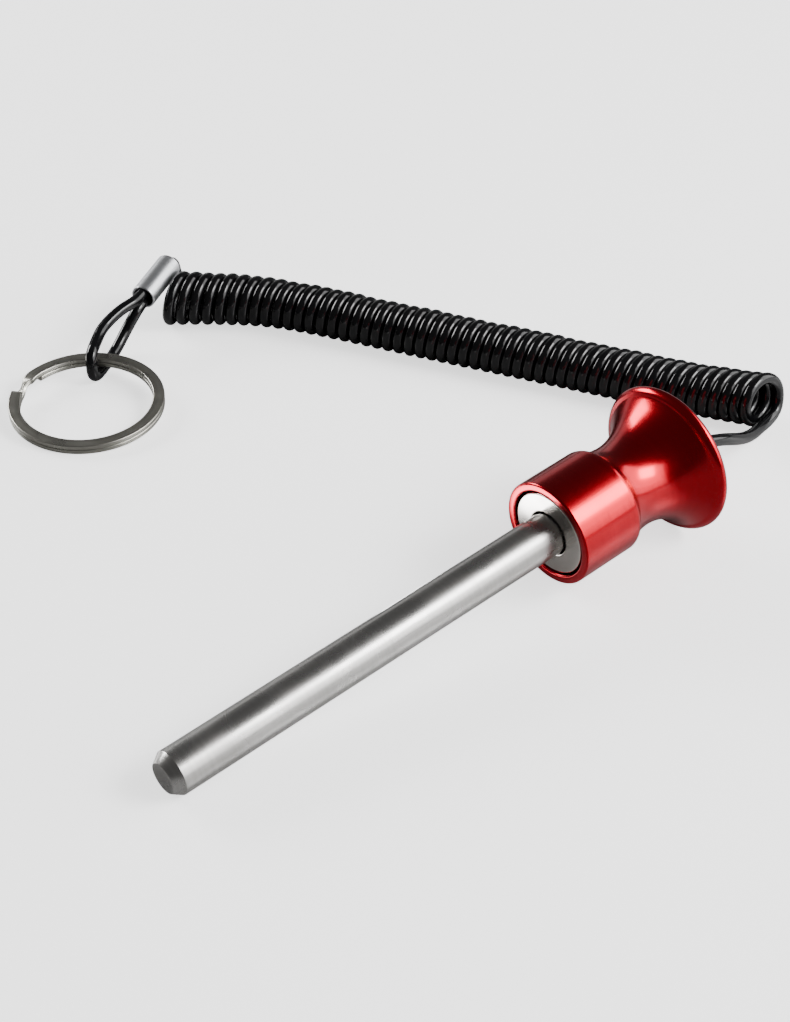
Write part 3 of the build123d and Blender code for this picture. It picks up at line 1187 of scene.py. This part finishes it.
@dataclass
class KeyRing:
    """The split ring: two turns of flat wire with a cranked step between them.

    Sizes are in millimetres, and angles in degrees round the ring.
    """

    radius: float = 19.6
    wire_width: float = 2.9
    wire_thickness: float = 1.25
    turn_gap: float = 0.1
    heading: float = -40.64
    tilt: float = 4.978
    upper_end: float = 171.0
    crank_top: float = 146.0
    lower_end: float = 141.5
    crank_roll: float = 56.0
    crank_roll_until: float = 0.8
    crank_shift: float = 0.5
    edge: float = 0.28
    steps_per_turn: int = 180
    least_steps: int = 16

    def matrix(self) -> Matrix:
        """Place the ring so that its swing joint lies in the middle of its wire at its back.

        Returns:
            The transform from the ring's own frame.
        """
        joint = next(j for j in frame["joints"] if j["name"] == "ring_swing")
        heading = Matrix.Rotation(math.radians(self.heading), 4, "Z")
        turn = heading @ Matrix.Rotation(math.radians(self.tilt), 4, "X")
        height = self.wire_thickness + self.turn_gap / 2
        middle = Vector((0, self.radius - self.wire_width / 2, height)) * MM
        return Matrix.Translation(Vector(joint["pos_m"]) - turn @ middle) @ turn

    def section(self, bm: bmesh.types.BMesh) -> list[Any]:
        """Make the wire's rounded section at the lower turn's free end.

        Args:
            bm: The mesh that the section goes into.

        Returns:
            The section's face, edges and points.
        """
        inner, outer, top = self.radius - self.wire_width, self.radius, self.wire_thickness
        corners = ((inner, 0), (outer, 0), (outer, top), (inner, top))
        verts = [bm.verts.new((x * MM, 0, z * MM)) for x, z in corners]
        bm.faces.new(verts)
        bmesh.ops.bevel(
            bm,
            geom=verts,
            offset=self.edge * MM,
            segments=4,
            profile=0.5,
            affect="VERTICES",
            material=-1,
        )
        turn = Matrix.Rotation(math.radians(self.lower_end), 4, "Z")
        bmesh.ops.transform(bm, matrix=turn, verts=bm.verts)
        return list(bm.faces) + list(bm.edges) + list(bm.verts)

    def roll(
        self,
        bm: bmesh.types.BMesh,
        section: list[Any],
        heading: float,
        lift: float,
        before: float,
        now: float,
    ) -> None:
        """Roll the wire's newest section in the crank, outer edge down, and draw it in a little.

        Args:
            bm: The mesh that the section belongs to.
            section: The section's faces, edges and points.
            heading: Where the section stands round the ring, in degrees.
            lift: How far the whole crank rises, in metres.
            before: The share of the crank passed at the section before this one.
            now: The share passed at this one.
        """
        was, leaning = (
            math.sin(math.pi * min(1.0, share / self.crank_roll_until)) for share in (before, now)
        )
        more = leaning - was
        turn = Matrix.Rotation(math.radians(heading), 3, "Z")
        outward = turn @ Vector((1, 0, 0))
        tangent = turn @ Vector((0, 1, 0))
        middle = outward * ((self.radius - self.wire_width / 2) * MM)
        middle.z = self.wire_thickness / 2 * MM + lift * now
        points = [item for item in section if isinstance(item, bmesh.types.BMVert)]
        spun = Matrix.Rotation(math.radians(self.crank_roll) * more, 3, tangent)
        bmesh.ops.rotate(bm, cent=middle, matrix=spun, verts=points)
        bmesh.ops.translate(bm, vec=outward * (-self.crank_shift * MM * more), verts=points)

    def build(self, effects: Effects) -> bpy.types.Object:
        """Make and dress the ring.

        Args:
            effects: The shared node groups.

        Returns:
            The ring.
        """
        bm = bmesh.new()
        last = self.section(bm)
        rise = (self.wire_thickness + self.turn_gap) * MM
        crank = self.upper_end - self.crank_top
        runs = ((360 - self.upper_end + self.lower_end, 0.0), (crank, rise), (360 - crank, 0.0))
        passed = 0.0
        for degrees, lift in runs:
            steps = max(self.least_steps, round(self.steps_per_turn * degrees / 360))
            for step in range(steps):
                made = bmesh.ops.spin(
                    bm,
                    geom=last,
                    cent=(0, 0, 0),
                    axis=(0, 0, -1),
                    dvec=(0, 0, lift / steps),
                    angle=math.radians(degrees / steps),
                    steps=1,
                )
                last = made["geom_last"]
                passed += degrees / steps
                if lift:
                    heading = self.lower_end - passed
                    self.roll(bm, last, heading, lift, step / steps, (step + 1) / steps)
        bmesh.ops.remove_doubles(bm, verts=bm.verts, dist=1e-7)
        bmesh.ops.recalc_face_normals(bm, faces=bm.faces)
        matrix = self.matrix()
        bmesh.ops.transform(bm, matrix=matrix, verts=bm.verts)
        made = object_from("key_ring_wire", bm)
        made.modifiers.new("even_shading", "WEIGHTED_NORMAL")
        upright = (matrix.to_3x3() @ Vector((0, 0, 1))).normalized()
        placing = Placing(matrix.to_translation(), upright)
        made.data.materials.append(RING_NICKEL.material(effects, placing))
        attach(made, "ring")
        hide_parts("key_ring")
        return made


# ---------------------------------------------------------------------------- the studio


@dataclass(frozen=True)
class SoftBox:
    """A soft light that faces the object from a direction.

    Angles are in degrees and sizes in metres.
    """

    name: str
    azimuth: float
    elevation: float
    width: float
    height: float
    radiance: float
    distance: float = 1.2

    def build(self, middle: Vector) -> bpy.types.Object:
        """Add the light.

        Args:
            middle: The point that it is aimed at.

        Returns:
            The light.
        """
        level, turn = math.radians(self.elevation), math.radians(self.azimuth)
        flat = math.cos(level)
        out = Vector((flat * math.cos(turn), flat * math.sin(turn), math.sin(level)))
        data = bpy.data.lights.new(self.name, "AREA")
        data.shape = "RECTANGLE"
        data.size, data.size_y = self.width, self.height
        data.energy = self.radiance * math.pi * self.width * self.height
        made = bpy.data.objects.new(self.name, data)
        made.location = middle + out * self.distance
        made.rotation_euler = (-out).to_track_quat("-Z", "Y").to_euler()
        bpy.context.scene.collection.objects.link(made)
        return made


@dataclass
class Studio:
    """A pale floor, soft boxes in dark surroundings, and the camera.

    The floor and the surroundings are pale to the camera's own rays. In reflections and
    bounced light they are dim, and the floor has a small patch of painted light by the
    pin: it glows white, and only reflections and bounced light show it.
    """

    camera_place: tuple[float, float, float] = (-0.22244, -0.24439, 0.27074)
    camera_target: tuple[float, float, float] = (0.02516, 0.04368, 0.0)
    lens: float = 69.81
    floor_size: float = 6.0
    floor_colour: float = 0.92
    floor_roughness: float = 0.8
    floor_specular: float = 0.3
    floor_glow: float = 1.5
    reflected_colour: float = 0.30
    reflected_roughness: float = 0.28
    reflected_specular: float = 1.0
    # Painted light: a small patch of floor by the pin glows white, seen only in reflections and
    # bounced light
    glow_patch_place: tuple[float, float, float] = (0.010, 0.0225, 0.0)
    glow_patch_radius: float = 0.0115
    glow_patch_core: float = 0.8
    glow_patch_strength: float = 14.0
    surroundings: float = 0.10
    backdrop: float = 1.7
    boxes: tuple[SoftBox, ...] = (
        SoftBox("front_right_wide", -45.0, 33.0, 1.75, 0.80, 4.2),
        SoftBox("front_right_core", -54.0, 38.0, 0.50, 0.36, 17.0, 1.1),
        SoftBox("back", 104.0, 23.0, 0.68, 0.40, 16.0),
        SoftBox("front_right_low", -45.0, 9.0, 1.75, 0.26, 3.2),
        SoftBox("back_right_low", 62.0, 12.0, 0.80, 0.36, 0.5),
    )

    def camera(self) -> bpy.types.Object:
        """Place the camera and make it the scene's.

        Returns:
            The camera.
        """
        data = bpy.data.cameras.new("camera")
        data.lens = self.lens
        data.clip_start = 0.01
        made = bpy.data.objects.new("camera", data)
        made.location = self.camera_place
        aim = Vector(self.camera_target) - Vector(self.camera_place)
        made.rotation_euler = aim.to_track_quat("-Z", "Y").to_euler()
        bpy.context.scene.collection.objects.link(made)
        bpy.context.scene.camera = made
        return made

    def floor(self) -> bpy.types.Object:
        """Lay the floor, with the small glowing patch of painted light that only reflections and
        bounced light show.

        Returns:
            The floor.
        """
        bm = bmesh.new()
        bmesh.ops.create_grid(bm, x_segments=1, y_segments=1, size=self.floor_size / 2)
        made = object_from("floor", bm)
        paper = bpy.data.materials.new("floor_paper")
        paper.use_nodes = True
        wiring = Wiring(paper.node_tree)
        seen = wiring.node("ShaderNodeLightPath").outputs["Is Camera Ray"]
        place = wiring.node("ShaderNodeTexCoord").outputs["Object"]
        # Painted light: the floor glows white in a small patch by the pin, for reflections and
        # bounced light only
        from_glow_patch = wiring.node(
            "ShaderNodeVectorMath", {0: place, 1: self.glow_patch_place}, operation="DISTANCE"
        ).outputs["Value"]
        core = self.glow_patch_radius * self.glow_patch_core
        glow_patch_emission = wiring.ramp(from_glow_patch, core, self.glow_patch_radius, self.glow_patch_strength, 0.0)
        pale, dim = ((*[level] * 3, 1.0) for level in (self.floor_colour, self.reflected_colour))
        roughness, specular = (
            wiring.ramp(seen, 0.0, 1.0, reflected, shown)
            for reflected, shown in (
                (self.reflected_roughness, self.floor_roughness),
                (self.reflected_specular, self.floor_specular),
            )
        )
        wiring.feed(
            paper.node_tree.nodes["Principled BSDF"],
            {
                "Base Color": wiring.mix(seen, dim, pale),
                "Roughness": roughness,
                "Specular IOR Level": specular,
                "Emission Color": (1.0, 1.0, 1.0, 1.0),
                "Emission Strength": wiring.ramp(seen, 0.0, 1.0, glow_patch_emission, self.floor_glow),
            },
        )
        made.data.materials.append(paper)
        return made

    def build(self) -> None:
        """Set up the floor, the lights and the surroundings."""
        self.floor()
        low, high = cad_box
        middle = (Vector(low) + Vector(high)) / 2
        for box in self.boxes:
            box.build(middle)
        world = bpy.data.worlds.new("surroundings")
        world.use_nodes = True
        wiring = Wiring(world.node_tree)
        seen = wiring.node("ShaderNodeLightPath").outputs["Is Camera Ray"]
        strength = wiring.ramp(seen, 0.0, 1.0, self.surroundings, self.backdrop)
        wiring.feed(
            world.node_tree.nodes["Background"],
            {"Color": (1.0, 1.0, 1.0, 1.0), "Strength": strength},
        )
        bpy.context.scene.world = world


def report(pieces: Iterable[bpy.types.Object]) -> None:
    """Log each piece and how many faces it has."""
    for piece in pieces:
        log.info("%s: %d faces", piece.name, len(piece.data.polygons))


def main() -> None:
    """Build the object's looks and the studio round it."""
    logging.basicConfig(level=logging.INFO, format="%(name)s: %(message)s")
    for leftover in [o for o in bpy.data.objects if o.name in ("Cube", "Light", "Camera")]:
        bpy.data.objects.remove(leftover)
    studio = Studio()
    studio.camera()
    effects = Effects()
    ferrule = Ferrule()
    tether = Tether(ferrule)
    report([ferrule.build(effects), KeyRing().build(effects)])
    report([tether.build_coil(effects), tether.build_loop(effects)])
    report(LockingPin().build(effects))
    studio.build()


if __name__ == "__main__":
    main()
